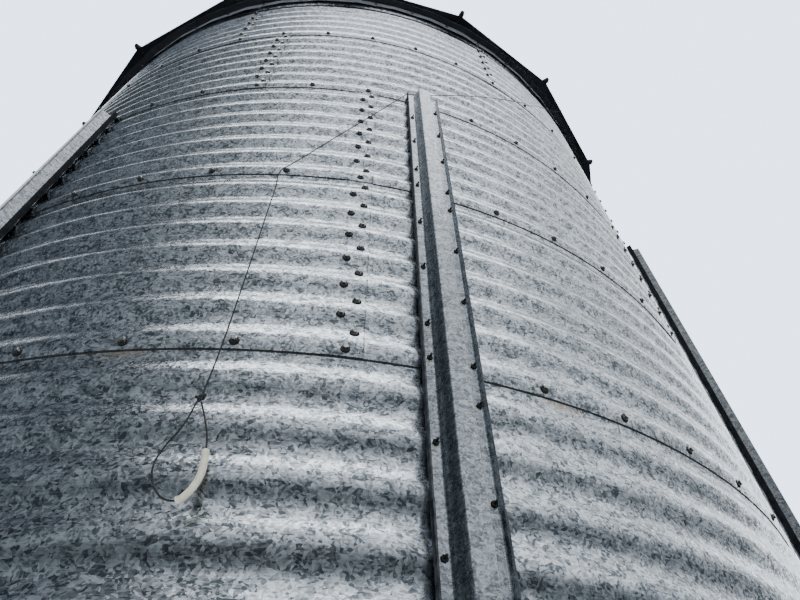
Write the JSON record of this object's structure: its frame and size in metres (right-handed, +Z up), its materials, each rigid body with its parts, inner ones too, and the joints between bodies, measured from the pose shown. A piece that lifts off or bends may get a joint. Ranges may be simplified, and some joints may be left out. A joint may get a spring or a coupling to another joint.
{
  "type": "grain silo",
  "caption": "Round flat-bottomed grain silo of corrugated galvanised sheet with outside stiffeners, a ribbed cone roof with filling lid, and a pull cord with loop handle.",
  "frame": {"origin": "on the ground at the silo's axis, under the middle of the floor plate", "axes": "+Z up; -Y towards the side with the pull cord's handle, +X to its right as seen from there"},
  "size_m": [3.9442, 3.9542, 6.2244],
  "materials": {
    "wall_sheet": "hot-dip galvanised corrugated sheet with zinc spangle, matt to satin",
    "stiffener_steel": "galvanised folded section with fine spangle",
    "floor_steel": "galvanised plate, dusty",
    "eave_dark": "near-black, matt",
    "roof_sheet": "near-black below, matt",
    "roof_fittings": "galvanised, weathered",
    "cord": "thin dark twisted cord",
    "handle_hose": "cream plastic hose, weathered"
  },
  "bodies": {
    "root": {"wall_ring_1": "wall_sheet", "wall_ring_2": "wall_sheet", "wall_ring_3": "wall_sheet", "wall_ring_4": "wall_sheet", "wall_ring_5": "wall_sheet", "wall_ring_6": "wall_sheet", "wall_ring_7": "wall_sheet", "stiffener_1": "stiffener_steel", "stiffener_2": "stiffener_steel", "stiffener_3": "stiffener_steel", "stiffener_4": "stiffener_steel", "stiffener_5": "stiffener_steel", "stiffener_6": "stiffener_steel", "stiffener_7": "stiffener_steel", "stiffener_8": "stiffener_steel", "stiffener_9": "stiffener_steel", "base_angle": "stiffener_steel", "floor_plate": "floor_steel", "eave_angle": "eave_dark", "roof_sheet_01": "roof_sheet", "roof_sheet_02": "roof_sheet", "roof_sheet_03": "roof_sheet", "roof_sheet_04": "roof_sheet", "roof_sheet_05": "roof_sheet", "roof_sheet_06": "roof_sheet", "roof_sheet_07": "roof_sheet", "roof_sheet_08": "roof_sheet", "roof_sheet_09": "roof_sheet", "roof_sheet_10": "roof_sheet", "roof_sheet_11": "roof_sheet", "roof_sheet_12": "roof_sheet", "roof_sheet_13": "roof_sheet", "roof_sheet_14": "roof_sheet", "roof_sheet_15": "roof_sheet", "roof_sheet_16": "roof_sheet", "roof_sheet_17": "roof_sheet", "roof_sheet_18": "roof_sheet", "peak_collar": "roof_fittings", "filling_lid": "roof_fittings", "lid_lever": "roof_fittings", "lid_hinge": "roof_fittings", "pull_cord": "cord", "cord_loop_left": "cord", "cord_loop_right": "cord", "loop_handle": "handle_hose", "cord_knot": "cord"}
  },
  "joints": []
}
